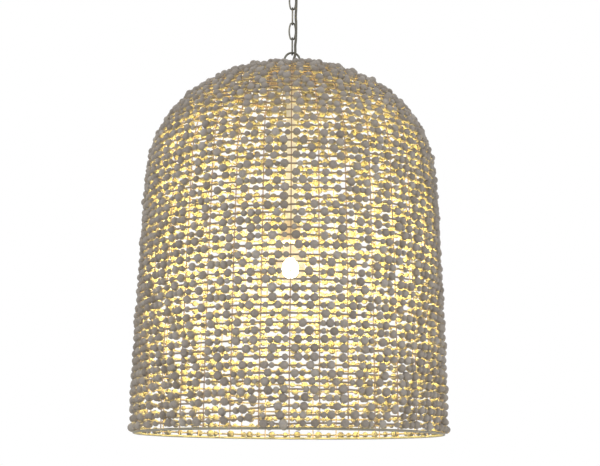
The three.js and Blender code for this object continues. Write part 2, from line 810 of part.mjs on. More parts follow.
const strandBays = (strandTurns * ribCount) / strandCount;
let leastGap = Infinity;
for (let i = 0; i < strandCount; i++) {
  const stations = strandStations(i * strandBays, (i + 1) * strandBays);
  leastGap = Math.min(leastGap, leastTurnGap(stations));
  place(shade, `bead_strand_${i + 1}`, tubeThrough(stations, wireSides, false), beadWood());
}
console.log(`least gap between turns of a strand: ${leastGap.toFixed(2)} mm`);

export default chandelier;
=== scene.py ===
"""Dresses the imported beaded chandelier: its camera and light, the wound strands with all their beads,
round wires and turned metal in place of the plain solids, and a material for everything.

Lengths are in metres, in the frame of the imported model. Heights called rise are counted up from the rim hoop,
and lengths called along are counted from it up the shade's outline. How finely a form is divided is written
where the form is made.
"""

import math

import bmesh
import bpy
import numpy as np
from mathutils import Matrix, Vector, kdtree


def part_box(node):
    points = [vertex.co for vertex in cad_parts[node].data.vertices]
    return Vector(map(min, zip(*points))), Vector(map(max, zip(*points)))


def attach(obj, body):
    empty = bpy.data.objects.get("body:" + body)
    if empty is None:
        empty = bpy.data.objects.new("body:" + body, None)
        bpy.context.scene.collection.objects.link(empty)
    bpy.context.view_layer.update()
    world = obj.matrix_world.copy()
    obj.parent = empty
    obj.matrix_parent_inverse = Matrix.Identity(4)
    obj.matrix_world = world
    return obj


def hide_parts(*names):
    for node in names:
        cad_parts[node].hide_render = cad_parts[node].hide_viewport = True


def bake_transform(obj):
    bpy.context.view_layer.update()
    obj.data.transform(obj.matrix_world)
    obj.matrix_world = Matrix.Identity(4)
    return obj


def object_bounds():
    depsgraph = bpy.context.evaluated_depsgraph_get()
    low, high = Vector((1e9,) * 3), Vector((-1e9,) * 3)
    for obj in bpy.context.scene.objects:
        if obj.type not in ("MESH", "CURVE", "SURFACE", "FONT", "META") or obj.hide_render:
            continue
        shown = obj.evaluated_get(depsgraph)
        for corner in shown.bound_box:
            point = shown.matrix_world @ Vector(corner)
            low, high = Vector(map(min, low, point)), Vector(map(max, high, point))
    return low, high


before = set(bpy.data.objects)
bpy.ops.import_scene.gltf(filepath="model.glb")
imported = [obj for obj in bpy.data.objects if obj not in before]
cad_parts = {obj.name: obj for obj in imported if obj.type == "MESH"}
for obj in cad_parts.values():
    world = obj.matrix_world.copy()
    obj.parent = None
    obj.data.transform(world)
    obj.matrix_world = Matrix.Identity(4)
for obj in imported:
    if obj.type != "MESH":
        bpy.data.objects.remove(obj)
cad_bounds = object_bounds()
scene = bpy.context.scene
SEED = 41
random = np.random.default_rng(SEED)
MM = 0.001


def node_box(name):
    """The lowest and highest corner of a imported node, as two arrays."""
    low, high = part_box(name)
    return np.array(low), np.array(high)


# The shade's outline, along the centre of the ribs: a wall that bends in with its height, and a dome of
# superelliptic form. It is worked out once, in this many steps.
RIM_RADIUS = 0.309
SHOULDER_RADIUS = 0.2937
SHOULDER_RISE = 0.497
CROWN_RISE = 0.7535
WALL_BEND = 1.63
DOME_OUT = 2.3
DOME_UP = 2.15
WALL_STEPS = 400
DOME_STEPS = 1200

# The cage's wires. Every second rib is short and ends at the hoop inside the dome. The ribs waver by a small
# angle. Strand wire is bound over the rim hoop and adds to its radius. Welds differ by a share of their size.
RIB_COUNT = 36
BAY = 2 * math.pi / RIB_COUNT
RIB_WIRE = 0.0025
RIB_WAVE = 0.0012
RIB_WAVE_RATE = 9
RIM_WIRE = 0.004
RIM_BINDING = 0.0005
CROWN_RING_RADIUS = 0.062
CROWN_RING_WIRE = 0.004
SHORT_RIB_RADIUS = 0.15
FOOT_WELD = (0.0026, 0.0026, 0.003)
CROWN_WELD = (0.003, 0.003, 0.0026)
WELD_SPREAD = 0.12
RIM_Z = node_box("wire_cage")[0][2] + RIM_WIRE / 2

# The winding: one climbing line of wire, cut into strands. Its first turns lie closer together. The very first
# are also level up to a step at the end of each turn, and the lowest is pushed out by the rim.
STRAND_COUNT = 6
THREAD = 0.0036
THREAD_LIFT = 0.003
START_ANGLE = math.radians(-98.8)
FIRST_ROW = 0.0088
ROW_PITCH = 0.0156
FOOT_PITCH = 0.0145
FOOT_TURNS = 8
LEVEL_TURNS = 4
STEP_SHARE = 0.03
FOOT_LIFT = 0.0032
FOOT_FADE = 0.8
FIRST_BEAD = 0.01
TOP_MARGIN = 0.012

# The beads' sizes, and the distance from bead to bead: some touch, and the others lie apart by chance
LARGE_BEAD = 0.0162
SMALL_BEAD = 0.0116
SIZE_SPREAD = 0.045
TOUCHING_SHARE = 0.26
TOUCHING_GAP = 0.0006
SPACING = 0.0252
SPACING_SPREAD = 0.006
SPACING_RANGE = (0.0135, 0.042)

# How the rows wander: the angle between random knots, and how far they shift a row. The drift over whole turns
# grows to its full size within a few rows.
LONG_WAVE = (0.8, 0.0014)
SHORT_WAVE = (0.21, 0.0012)
DRIFT = (6 * math.pi, 0.0022)
DRIFT_ROWS = 3

# How the beads lie on the cage: where bays are wider than OPEN_BAY they slide off the ribs, until their edge is
# RIB_GAP from a rib's centre, and where bays are narrower than CLOSE_BAY they stay. Over a rib they rise by a
# share of its height, and each stands out a little by chance.
RIB_GAP = RIB_WIRE / 2 + THREAD_LIFT / 5
OPEN_BAY = 0.036
CLOSE_BAY = 0.024
RIDE_SHARE = 0.45
BEAD_WANDER = 0.0014
LEAST_WANDER = -0.6

# How beads that run into each other are moved apart, in rounds: their clearance, how many bead widths off a
# neighbour is looked for, and the shares by which a bead is moved off a rib and back into its row in one round.
# The last rounds leave the rows alone. No bead drops further than ROW_DROP below the first row.
EASE_ROUNDS = 36
LAST_ROUNDS = 8
BEAD_CLEARANCE = 0.0001
NEIGHBOUR_REACH = 1.15
RIB_EASE = 0.6
ROW_EASE = 0.12
SAME_ROW = 0.01
ROW_DROP = 0.002

# The place at the front where the beads are left out, so that the lit bulb is seen
GLARE_ANGLE = -math.pi / 2
GLARE_LENGTH = 0.287
GLARE_WIDTH = 0.04
GLARE_HEIGHT = 0.048

# Each bead's own form: its hole and the hole's sunk end as shares of its radius, its length against its width,
# and how much it differs in shape, lean and tone
BEAD_HOLE = 0.2
HOLE_DEPTH = 0.72
HOLE_TAPER = 0.8
BEAD_LENGTH = 0.97
SHAPE_SPREAD = 0.018
LEAN_SPREAD = 0.06
TONE_SPREAD = 0.2

# Chain and loops. LINK_END is the radius of a link's tight ends.
LINK_WIRE = 0.0035
LINK_WIDTH = 0.017
LINK_END = 0.0046
WELD_SWELL = 1.09
LOOP_WIRE = 0.0045
LOOP_DIAMETER = 0.0365
LOOP_BORE = 0.0036
BOSS_RADIUS = 0.007
SHANK_RADIUS = 0.005
SHANK_THREADS = 22
SHANK_THREAD_DEPTH = 0.00045

# Cord: its thickness, and how far its lengths run into one another
CORD = 0.0055
CORD_OVERLAP = 0.00015

# Turned pieces
HOLE = 0.0053
STEM_BORE = 0.0098
SOCKET_CAP_BORE = 0.0113
SHEET = 0.0015
COLLAR_GROOVES = 48
COLLAR_GROOVE_DEPTH = 0.0003
SHELL_SKIN = 0.0014
SHELL_GROOVES = 9
SHELL_GROOVE_DEPTH = 0.0004
SCREW_TURNS = 5
SCREW_DEPTH = 0.0007

# The bulb: its round part ends at this angle above its middle and runs on into the neck in a curve with handles
# of these lengths. The burning middle stands inside.
NECK_ANGLE = 0.32
NECK_RADIUS = 0.0135
BALL_HANDLE = 0.030
NECK_HANDLE = 0.022
GLASS_SKIN = 0.0008
GLOW_RADIUS = 0.0162
GLOW_HEIGHT = 0.041
GLOW_TAPER = 0.12
GLOW_DROP = 0.001

# The photograph's width and focal length in pixels, and where its camera stood, in metres and degrees
PHOTO_WIDTH = 600
FOCAL_PIXELS = 1240
CAMERA_DISTANCE = 2.517
CAMERA_BELOW_RIM = 0.0809
CAMERA_PITCH = 11.05
CAMERA_YAW = -0.44
CAMERA_ROLL = 0.4
SENSOR = 36
FAR_CLIP = 50

# Studio lights: where each stands, how wide it is, and its power
LIGHTS = {
    "key_light": ((-1.6, -2.6, 0.9), 1.8, 54),
    "fill_light": ((2.4, -1.8, -0.4), 2.2, 31),
    "top_light": ((0.2, 0.6, 1.9), 2.0, 30),
    "back_light": ((0.4, 3.0, -0.2), 2.2, 16),
    "left_light": ((-3.0, 0.2, -0.2), 2.0, 22),
    "right_light": ((3.0, 0.2, -0.2), 2.0, 18),
}

# The light all round, the bulb's own light, and the floor below
SKY_COLOR = (0.97, 0.98, 1)
SKY_STRENGTH = 0.64
WHITE = (1, 1, 1)
LAMP_STRENGTH = 6300
GLASS_STRENGTH = 1.15
GLASS_ALPHA = 0.35
FLOOR_DROP = 0.9
FLOOR_REACH = 8


# Camera, light and surroundings


def make_camera():
    """The photograph's camera, which looks up at the shade from below its rim."""
    data = bpy.data.cameras.new("photo_camera")
    data.sensor_width = SENSOR
    data.sensor_fit = "HORIZONTAL"
    data.lens = FOCAL_PIXELS / PHOTO_WIDTH * SENSOR
    data.clip_end = FAR_CLIP
    camera = bpy.data.objects.new("photo_camera", data)
    place = Matrix.Translation((0, -CAMERA_DISTANCE, RIM_Z - CAMERA_BELOW_RIM))
    yaw = Matrix.Rotation(math.radians(CAMERA_YAW), 4, "Z")
    pitch = Matrix.Rotation(math.radians(90 + CAMERA_PITCH), 4, "X")
    roll = Matrix.Rotation(math.radians(CAMERA_ROLL), 4, "Z")
    camera.matrix_world = place @ yaw @ pitch @ roll
    scene.collection.objects.link(camera)
    scene.camera = camera


def make_lights():
    """Wide round lamps, all turned to the middle of the shade."""
    middle = Vector((0, 0, RIM_Z + CROWN_RISE / 2))
    for name, (place, size, power) in LIGHTS.items():
        data = bpy.data.lights.new(name, "AREA")
        data.shape = "DISK"
        data.size = size
        data.energy = power
        light = bpy.data.objects.new(name, data)
        light.location = place
        light.rotation_euler = (middle - Vector(place)).to_track_quat("-Z", "Y").to_euler()
        scene.collection.objects.link(light)


def make_world():
    """Soft grey light all round, and white where the camera, gloss or glass sees past the object."""
    world = bpy.data.worlds.new("studio")
    scene.world = world
    world.use_nodes = True
    tree = world.node_tree
    tree.nodes.clear()

    def larger(first, second):
        node = tree.nodes.new("ShaderNodeMath")
        node.operation = "MAXIMUM"
        tree.links.new(first, node.inputs[0])
        tree.links.new(second, node.inputs[1])
        return node.outputs[0]

    def background(color, strength):
        node = tree.nodes.new("ShaderNodeBackground")
        node.inputs["Color"].default_value = (*color, 1)
        node.inputs["Strength"].default_value = strength
        return node.outputs[0]

    ray = tree.nodes.new("ShaderNodeLightPath").outputs
    shiny = larger(ray["Is Glossy Ray"], ray["Is Transmission Ray"])
    mix = tree.nodes.new("ShaderNodeMixShader")
    tree.links.new(larger(ray["Is Camera Ray"], shiny), mix.inputs[0])
    tree.links.new(background(SKY_COLOR, SKY_STRENGTH), mix.inputs[1])
    tree.links.new(background(WHITE, 1), mix.inputs[2])
    out = tree.nodes.new("ShaderNodeOutputWorld")
    tree.links.new(mix.outputs[0], out.inputs[0])


# Materials


class Shader:
    """A material being put together: a Principled shader and small helpers to feed it."""

    def __init__(self, name, color, roughness, metallic=0.0):
        self.material = bpy.data.materials.new(name)
        self.material.use_nodes = True
        self.tree = self.material.node_tree
        self.principled = self.tree.nodes["Principled BSDF"]
        self.principled.inputs["Base Color"].default_value = (*color, 1)
        self.principled.inputs["Roughness"].default_value = roughness
        self.principled.inputs["Metallic"].default_value = metallic
        self.coordinates = self.tree.nodes.new("ShaderNodeTexCoord").outputs["Object"]

    def link(self, output, place):
        self.tree.links.new(output, place)

    def noise(self, scale, detail=3, stretch=(1, 1, 1), roughness=0.5):
        mapping = self.tree.nodes.new("ShaderNodeMapping")
        mapping.inputs["Scale"].default_value = stretch
        self.link(self.coordinates, mapping.inputs["Vector"])
        node = self.tree.nodes.new("ShaderNodeTexNoise")
        node.inputs["Scale"].default_value = scale
        node.inputs["Detail"].default_value = detail
        node.inputs["Roughness"].default_value = roughness
        self.link(mapping.outputs[0], node.inputs["Vector"])
        return node.outputs["Fac"]

    def attribute(self, name):
        node = self.tree.nodes.new("ShaderNodeAttribute")
        node.attribute_name = name
        return node.outputs["Fac"]

    def ramp(self, factor, *stops):
        """Maps a factor to colours: each stop is (position, colour)."""
        node = self.tree.nodes.new("ShaderNodeValToRGB")
        elements = node.color_ramp.elements
        while len(elements) < len(stops):
            elements.new(0.5)
        for element, (position, color) in zip(elements, stops):
            element.position = position
            element.color = (*color, 1)
        self.link(factor, node.inputs["Fac"])
        return node.outputs["Color"]

    def mix(self, factor, a, b, mode="MIX"):
        node = self.tree.nodes.new("ShaderNodeMix")
        node.data_type = "RGBA"
        node.blend_type = mode
        for value, place in ((factor, 0), (a, 6), (b, 7)):
            if isinstance(value, (int, float)):
                node.inputs[place].default_value = value
            elif isinstance(value, tuple):
                node.inputs[place].default_value = (*value, 1)
            else:
                self.link(value, node.inputs[place])
        return node.outputs[2]

    def map_range(self, factor, low, high):
        node = self.tree.nodes.new("ShaderNodeMapRange")
        node.inputs["To Min"].default_value = low
        node.inputs["To Max"].default_value = high
        self.link(factor, node.inputs["Value"])
        return node.outputs[0]

    def color(self, output):
        self.link(output, self.principled.inputs["Base Color"])

    def roughness(self, factor, low, high):
        self.link(self.map_range(factor, low, high), self.principled.inputs["Roughness"])

    def bump(self, height, depth):
        node = self.tree.nodes.new("ShaderNodeBump")
        node.inputs["Distance"].default_value = depth
        self.link(height, node.inputs["Height"])
        self.link(node.outputs[0], self.principled.inputs["Normal"])

    def glow(self, color, strength):
        self.link(color, self.principled.inputs["Emission Color"])
        self.principled.inputs["Emission Strength"].default_value = strength


def bead_material():
    """Grey-stained wood: each bead has its own tone, with fine pores and grain."""
    shader = Shader("grey_bead_wood", (0.25, 0.225, 0.205), 0.85)
    tone = shader.ramp(
        shader.attribute("tone"),
        (0.0, (0.192, 0.171, 0.147)),
        (0.5, (0.247, 0.225, 0.199)),
        (1.0, (0.306, 0.287, 0.26)),
    )
    grain = shader.noise(900, 4, roughness=0.65)
    pores = shader.ramp(grain, (0.3, (0.2, 0.19, 0.18)), (0.7, (0.72, 0.7, 0.68)))
    blotches = shader.ramp(shader.noise(160, 2), (0.35, (0.35, 0.34, 0.33)), (0.65, (0.65, 0.64, 0.63)))
    stained = shader.mix(0.35, tone, pores, "OVERLAY")
    shader.color(shader.mix(0.2, stained, blotches, "OVERLAY"))
    shader.roughness(grain, 0.8, 0.98)
    shader.principled.inputs["Specular IOR Level"].default_value = 0.15
    shader.bump(grain, 0.0002)
    return shader.material


def thread_material():
    """The strands' dull brown wire."""
    shader = Shader("strand_wire", (0.2, 0.16, 0.115), 0.7)
    fibre = shader.noise(1100, 3)
    shader.color(shader.ramp(fibre, (0.3, (0.15, 0.118, 0.085)), (0.7, (0.26, 0.205, 0.15))))
    shader.roughness(fibre, 0.6, 0.85)
    shader.bump(fibre, 0.0002)
    return shader.material


def cage_material():
    """Taupe paint on wire, a little worn, so that it shows warm where the light catches it."""
    shader = Shader("taupe_cage_paint", (0.38, 0.28, 0.2), 0.6, 0.1)
    speckle = shader.noise(350, 4)
    shader.color(shader.ramp(speckle, (0.3, (0.32, 0.235, 0.168)), (0.75, (0.45, 0.335, 0.245))))
    shader.roughness(speckle, 0.5, 0.75)
    shader.bump(speckle, 0.0001)
    return shader.material


def binding_material():
    """Dark strand wire bound over the rim hoop, its turns run together by distance."""
    shader = Shader("rim_binding", (0.2, 0.19, 0.155), 0.75)
    fibre = shader.noise(900, 3, stretch=(1, 1, 0.2))
    shader.color(shader.ramp(fibre, (0.3, (0.165, 0.155, 0.128)), (0.7, (0.25, 0.237, 0.195))))
    shader.bump(fibre, 0.0003)
    return shader.material


def bronze_material():
    """Aged grey bronze: a fine patina with wider scuffs."""
    shader = Shader("grey_bronze", (0.12, 0.113, 0.09), 0.42, 0.75)
    patina = shader.noise(220, 4)
    scuffs = shader.noise(60, 3)
    fine = shader.ramp(patina, (0.35, (0.085, 0.081, 0.065)), (0.7, (0.18, 0.17, 0.138)))
    wide = shader.ramp(scuffs, (0.4, (0.07, 0.067, 0.054)), (0.62, (0.23, 0.22, 0.18)))
    shader.color(shader.mix(0.4, fine, wide))
    shader.roughness(patina, 0.34, 0.55)
    shader.bump(patina, 0.00008)
    return shader.material


def cord_material():
    """A woven sleeve: two crossing sets of fine threads."""
    shader = Shader("cord_sleeve", (0.115, 0.108, 0.085), 0.85)
    weave = shader.tree.nodes.new("ShaderNodeTexChecker")
    weave.inputs["Scale"].default_value = 900
    shader.link(shader.coordinates, weave.inputs["Vector"])
    woven = shader.mix(weave.outputs["Fac"], (0.085, 0.08, 0.063), (0.15, 0.142, 0.115))
    fuzz = shader.ramp(shader.noise(800, 3), (0.3, (0.075, 0.07, 0.056)), (0.7, (0.18, 0.17, 0.14)))
    shader.color(shader.mix(0.3, woven, fuzz))
    shader.bump(weave.outputs["Fac"], 0.0002)
    return shader.material


def enamel_material(name, low, high):
    """Baked enamel, faintly mottled between two tones."""
    shader = Shader(name, low, 0.45)
    mottle = shader.noise(120, 3)
    shader.color(shader.ramp(mottle, (0.3, low), (0.7, high)))
    shader.roughness(mottle, 0.4, 0.55)
    return shader.material


def brass_material():
    """Satin brass with a little tarnish."""
    shader = Shader("satin_brass", (0.6, 0.44, 0.2), 0.35, 0.9)
    tarnish = shader.noise(180, 4)
    shader.color(shader.ramp(tarnish, (0.3, (0.5, 0.36, 0.16)), (0.75, (0.7, 0.54, 0.28))))
    shader.roughness(tarnish, 0.28, 0.5)
    return shader.material


def bulb_material():
    """Thinly frosted glass lit from inside: a cream glow with a faint mottle, through which the lamp burns."""
    shader = Shader("lit_frosted_glass", (0, 0, 0), 0.6)
    frost = shader.noise(90, 2)
    shader.glow(shader.ramp(frost, (0.3, (1, 0.72, 0.4)), (0.7, (1, 0.78, 0.48))), GLASS_STRENGTH)
    shader.principled.inputs["Specular IOR Level"].default_value = 0
    shader.principled.inputs["Alpha"].default_value = GLASS_ALPHA
    return shader.material


def glow_material():
    """The lamp's burning middle, a little uneven."""
    shader = Shader("lamp_glow", (1, 0.8, 0.5), 0.5)
    waver = shader.noise(60, 2)
    shader.glow(shader.ramp(waver, (0.3, (1, 0.79, 0.18)), (0.7, (1, 0.83, 0.24))), LAMP_STRENGTH)
    return shader.material


def floor_material():
    return Shader("pale_floor", (0.8, 0.8, 0.8), 0.9).material


# Mesh building

# Edges sharper than these are shown sharp
CREASE = math.radians(35)
TURNED_CREASE = math.radians(32)
LOOP_CREASE = math.radians(40)
BEAD_CREASE = math.radians(60)
# Points nearer to the axis than this lie on it
ON_AXIS = 1e-9
# A tube's first side is set off from this direction, in which no path starts
SKEW = (0.31, 0.17, 0.93)


def add_piece(name, vertices, faces, material, body, slot, replaced=(), crease=CREASE):
    """Makes a smooth-shaded mesh object, hands it to its body, and hides the nodes it stands for."""
    mesh = bpy.data.meshes.new(name)
    mesh.from_pydata(np.asarray(vertices).tolist(), [], [list(map(int, face)) for face in faces])
    mesh.validate()
    mesh.polygons.foreach_set("use_smooth", np.ones(len(mesh.polygons), bool))
    mesh.set_sharp_from_angle(angle=crease)
    mesh.materials.append(material)
    piece = bpy.data.objects.new(name, mesh)
    scene.collection.objects.link(piece)
    if body:
        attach(piece, body)
    if replaced:
        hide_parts(*replaced)
    return piece


def grid_faces(rings, sides, closed):
    """Quads between neighbouring rings of points. A closed sweep joins its last ring to its first."""
    ring = np.arange(rings if closed else rings - 1)[:, None]
    side = np.arange(sides)[None, :]
    after = (ring + 1) % rings
    next_side = (side + 1) % sides
    corners = (ring * sides + side, ring * sides + next_side, after * sides + next_side, after * sides + side)
    return np.stack([np.broadcast_to(c, (len(ring), sides)) for c in corners], -1).reshape(-1, 4)


def sweep(points, radii, sides, closed=False):
    """A round tube through points, with flat ends unless it is closed. Returns vertices and faces."""
    points = np.asarray(points, float)
    radii = np.broadcast_to(radii, len(points))
    if closed:
        tangents = np.roll(points, -1, 0) - np.roll(points, 1, 0)
    else:
        tangents = np.gradient(points, axis=0)
    tangents /= np.linalg.norm(tangents, axis=1)[:, None]
    side = np.cross(tangents[0], SKEW)
    sides_out = []
    for tangent in tangents:
        side = side - tangent * side.dot(tangent)
        side /= np.linalg.norm(side)
        sides_out.append(side)
    first = np.array(sides_out)
    second = np.cross(tangents, first)
    twist = np.zeros(len(points))
    if closed:
        last = first[-1] - tangents[0] * first[-1].dot(tangents[0])
        error = math.atan2(last.dot(second[0]), last.dot(first[0]))
        twist = -error * np.arange(len(points)) / len(points)
    angles = 2 * math.pi * np.arange(sides) / sides + twist[:, None]
    offset = np.cos(angles)[..., None] * first[:, None] + np.sin(angles)[..., None] * second[:, None]
    vertices = (points[:, None] + offset * radii[:, None, None]).reshape(-1, 3)
    faces = [list(f) for f in grid_faces(len(points), sides, closed)]
    if not closed:
        faces.append(list(range(sides))[::-1])
        faces.append(list(range((len(points) - 1) * sides, len(points) * sides)))
    return vertices, faces


def joined(parts):
    """Puts several (vertices, faces) together."""
    vertices, faces, start = [], [], 0
    for part_vertices, part_faces in parts:
        vertices.append(np.asarray(part_vertices))
        faces.extend([[start + i for i in face] for face in part_faces])
        start += len(part_vertices)
    return np.concatenate(vertices), faces


def lathe(outline, segments):
    """Revolves a closed outline of (radius, z) about Z. Points on the axis are shared."""
    outline = np.asarray(outline, float)
    angles = 2 * math.pi * np.arange(segments) / segments
    vertices, index = [], []
    for radius, z in outline:
        if radius < ON_AXIS:
            index.append([len(vertices)] * segments)
            vertices.append((0, 0, z))
        else:
            index.append(list(range(len(vertices), len(vertices) + segments)))
            vertices.extend((radius * math.cos(a), radius * math.sin(a), z) for a in angles)
    faces = []
    for i in range(len(outline)):
        this, after = index[i], index[(i + 1) % len(outline)]
        if this[0] == this[1] and after[0] == after[1]:
            continue
        for k in range(segments):
            beside = (k + 1) % segments
            corners = [this[k], this[beside], after[beside], after[k]]
            faces.append([c for n, c in enumerate(corners) if c not in corners[:n]])
    return np.array(vertices), faces


def rounded(outline, radius, steps=4, closed=True):
    """Rounds the corners of an outline, each by at most the given radius and just under half of its sides."""
    points = [np.array(p, float) for p in outline]
    out = []
    for i, corner in enumerate(points):
        if corner[0] < ON_AXIS or (not closed and i in (0, len(points) - 1)):
            out.append(corner)
            continue
        back = points[i - 1] - corner
        on = points[(i + 1) % len(points)] - corner
        reach = min(radius, 0.45 * np.linalg.norm(back), 0.45 * np.linalg.norm(on))
        start = corner + back / np.linalg.norm(back) * reach
        end = corner + on / np.linalg.norm(on) * reach
        for t in np.linspace(0, 1, steps + 1):
            out.append((1 - t) ** 2 * start + 2 * t * (1 - t) * corner + t**2 * end)
    return out


# The shade's outline


def outline_table():
    """Lengths along the outline from the rim hoop to the crown's middle, with their radii and rises."""
    up = np.linspace(0, 1, WALL_STEPS, endpoint=False)
    turn = np.linspace(0, math.pi / 2, DOME_STEPS)
    wall_radius = RIM_RADIUS + (SHOULDER_RADIUS - RIM_RADIUS) * up**WALL_BEND
    dome_radius = SHOULDER_RADIUS * np.clip(np.cos(turn), 0, 1) ** (2 / DOME_OUT)
    dome_rise = SHOULDER_RISE + (CROWN_RISE - SHOULDER_RISE) * np.sin(turn) ** (2 / DOME_UP)
    radius = np.concatenate([wall_radius, dome_radius])
    rise = np.concatenate([SHOULDER_RISE * up, dome_rise])
    length = np.concatenate([[0], np.cumsum(np.hypot(np.diff(radius), np.diff(rise)))])
    return length, radius, rise


LENGTH, RADIUS, RISE = outline_table()
SLOPE_RADIUS = np.gradient(RADIUS, LENGTH)
SLOPE_RISE = np.gradient(RISE, LENGTH)


def radius_at(along):
    """The shade's radius at a length along its outline."""
    return np.interp(along, LENGTH, RADIUS)


def length_at_radius(radius):
    """The length along the outline at which the dome has drawn in to a radius."""
    return float(np.interp(-radius, -RADIUS[WALL_STEPS:], LENGTH[WALL_STEPS:]))


def on_shade(along, angle, lift):
    """Points on the shade at lengths along its outline, lifted off the ribs' centres."""
    along, angle, lift = np.broadcast_arrays(np.asarray(along, float), angle, lift)
    slope_r = np.interp(along, LENGTH, SLOPE_RADIUS)
    slope_z = np.interp(along, LENGTH, SLOPE_RISE)
    size = np.hypot(slope_r, slope_z)
    out = radius_at(along) + lift * slope_z / size
    z = RIM_Z + np.interp(along, LENGTH, RISE) - lift * slope_r / size
    return np.stack([out * np.cos(angle), out * np.sin(angle), z], -1)


# Wire cage

CROWN_LENGTH = length_at_radius(CROWN_RING_RADIUS)
SHORT_RIB_LENGTH = length_at_radius(SHORT_RIB_RADIUS)


def circle(radius, z, count):
    """Points round a level circle."""
    angle = 2 * math.pi * np.arange(count) / count
    return np.stack([radius * np.cos(angle), radius * np.sin(angle), np.full(count, z)], -1)


def weld(place, size):
    """A small lump of weld round a joint of two wires."""
    sphere = bmesh.new()
    bmesh.ops.create_icosphere(sphere, subdivisions=2, radius=1)
    vertices = np.array([v.co for v in sphere.verts])
    faces = [[v.index for v in f.verts] for f in sphere.faces]
    sphere.free()
    scale = np.asarray(size) * (1 + WELD_SPREAD * random.standard_normal(3))
    return vertices * scale + place, faces


def build_cage(material, binding):
    """The welded wires, and the rim hoop with strand wire wound tightly over it."""
    rim = sweep(circle(RIM_RADIUS, RIM_Z, 1440), RIM_WIRE / 2 + RIM_BINDING, 10, closed=True)
    add_piece("cage_rim", *rim, binding, "shade", "cage_paint")
    crown = on_shade(CROWN_LENGTH, 0, 0)
    parts = [sweep(circle(crown[0], crown[2], 96), CROWN_RING_WIRE / 2, 12, closed=True)]
    for i in range(RIB_COUNT):
        top = CROWN_LENGTH if i % 2 == 0 else SHORT_RIB_LENGTH
        along = np.linspace(0, top, 90)
        angle = i * BAY + RIB_WAVE * np.sin(along * RIB_WAVE_RATE + random.uniform(0, 6))
        parts.append(sweep(on_shade(along, angle, 0), RIB_WIRE / 2, 8))
        parts.append(weld(on_shade(0.0005, i * BAY, 0), FOOT_WELD))
        if i % 2 == 0:
            parts.append(weld(on_shade(top, i * BAY, 0), CROWN_WELD))
    add_piece("cage_wires", *joined(parts), material, "shade", "cage_paint", ("wire_cage",))


def build_hoop(material):
    """The hoop inside the dome, to which the short ribs are tied."""
    low, high = node_box("crown_hoop")
    wire = high[2] - low[2]
    z = (low[2] + high[2]) / 2
    ring = sweep(circle(high[0] - wire / 2, z, 240), wire / 2, 10, closed=True)
    add_piece("crown_hoop_wire", *ring, material, "shade", "cage_paint", ("crown_hoop",))


# Bead strands


def ease(share):
    """Goes from 0 to 1 with a level start and end."""
    return share * share * (3 - 2 * share)


def smooth_noise(angle, knot_every, size):
    """Random values at even knots along an angle, joined smoothly."""
    count = int(angle.max() / knot_every) + 4
    knots = random.standard_normal(count) * size
    at = angle / knot_every
    low = at.astype(int)
    t = ease(at - low)
    return knots[low] * (1 - t) + knots[low + 1] * t


def row_length(turned):
    """Length along the outline of the winding after it has turned by an angle from its start.
    The first turns lie level and step up where they meet the winding's start; later ones climb evenly."""
    turns = turned / (2 * math.pi)
    whole = np.floor(turns)
    part = turns - whole
    step = ease(np.clip((part - (1 - STEP_SHARE)) / STEP_SHARE, 0, 1))
    even = np.clip(whole / LEVEL_TURNS, 0, 1)
    level = whole + (1 - even) * step + even * part
    return FIRST_ROW + ROW_PITCH * level - (ROW_PITCH - FOOT_PITCH) * np.minimum(level, FOOT_TURNS)


def string_beads():
    """Threads large and small beads in turn along the winding, some of them touching, most apart.
    Returns each bead's angle from the start, its length along the outline and its size."""
    turned, size = [], []
    angle = FIRST_BEAD
    is_large = True
    while True:
        along = float(row_length(np.array(angle)))
        if along > CROWN_LENGTH - TOP_MARGIN:
            break
        turned.append(angle)
        size.append((LARGE_BEAD if is_large else SMALL_BEAD) * (1 + SIZE_SPREAD * random.standard_normal()))
        if random.random() < TOUCHING_SHARE:
            spacing = (LARGE_BEAD + SMALL_BEAD) / 2 + TOUCHING_GAP
        else:
            spacing = np.clip(random.normal(SPACING, SPACING_SPREAD), *SPACING_RANGE)
        angle += spacing / float(radius_at(along))
        is_large = not is_large
    turned = np.array(turned)
    along = row_length(turned) + smooth_noise(turned, *LONG_WAVE) + smooth_noise(turned, *SHORT_WAVE)
    drift = smooth_noise(turned, *DRIFT)
    along += drift * np.clip((along - FIRST_ROW) / (DRIFT_ROWS * ROW_PITCH), 0, 1)
    return turned, along, np.array(size)


def bay_angle(along):
    """The angle between neighbouring ribs; only every second rib reaches the crown."""
    return np.where(along > SHORT_RIB_LENGTH, 2 * BAY, BAY)


def from_rib(angle, along):
    """The angle to the nearest rib."""
    bay = bay_angle(along)
    return (angle + bay / 2) % bay - bay / 2


def slide_share(along):
    """How far beads slide off the ribs: fully in wide bays, not at all where the ribs draw together."""
    bay_width = bay_angle(along) * radius_at(along)
    return np.clip((bay_width - CLOSE_BAY) / (OPEN_BAY - CLOSE_BAY), 0, 1)


def chord_lift(along, angle):
    """How far a strand pulled straight from rib to rib lies inside a round one."""
    part = (angle + BAY / 2) % BAY - BAY / 2
    from_middle = BAY / 2 - np.abs(part)
    return -radius_at(along) * (1 - math.cos(BAY / 2) / np.cos(from_middle))


def bead_lift(along, angle, half):
    """A bead hangs between the ribs on its strand, or lies against a rib and lifts the strand.
    The first turn, pushed down against the rim, stands out further."""
    foot = FOOT_LIFT * np.clip(1 - (along - FIRST_ROW) / (FOOT_FADE * ROW_PITCH), 0, 1)
    hung = THREAD_LIFT + chord_lift(along, angle) + foot
    sideways = np.abs(from_rib(angle, along)) * radius_at(along)
    on_rib = np.sqrt(np.maximum((half + RIB_WIRE / 2) ** 2 - sideways**2, 0))
    return hung + RIDE_SHARE * np.maximum(on_rib - hung, 0)


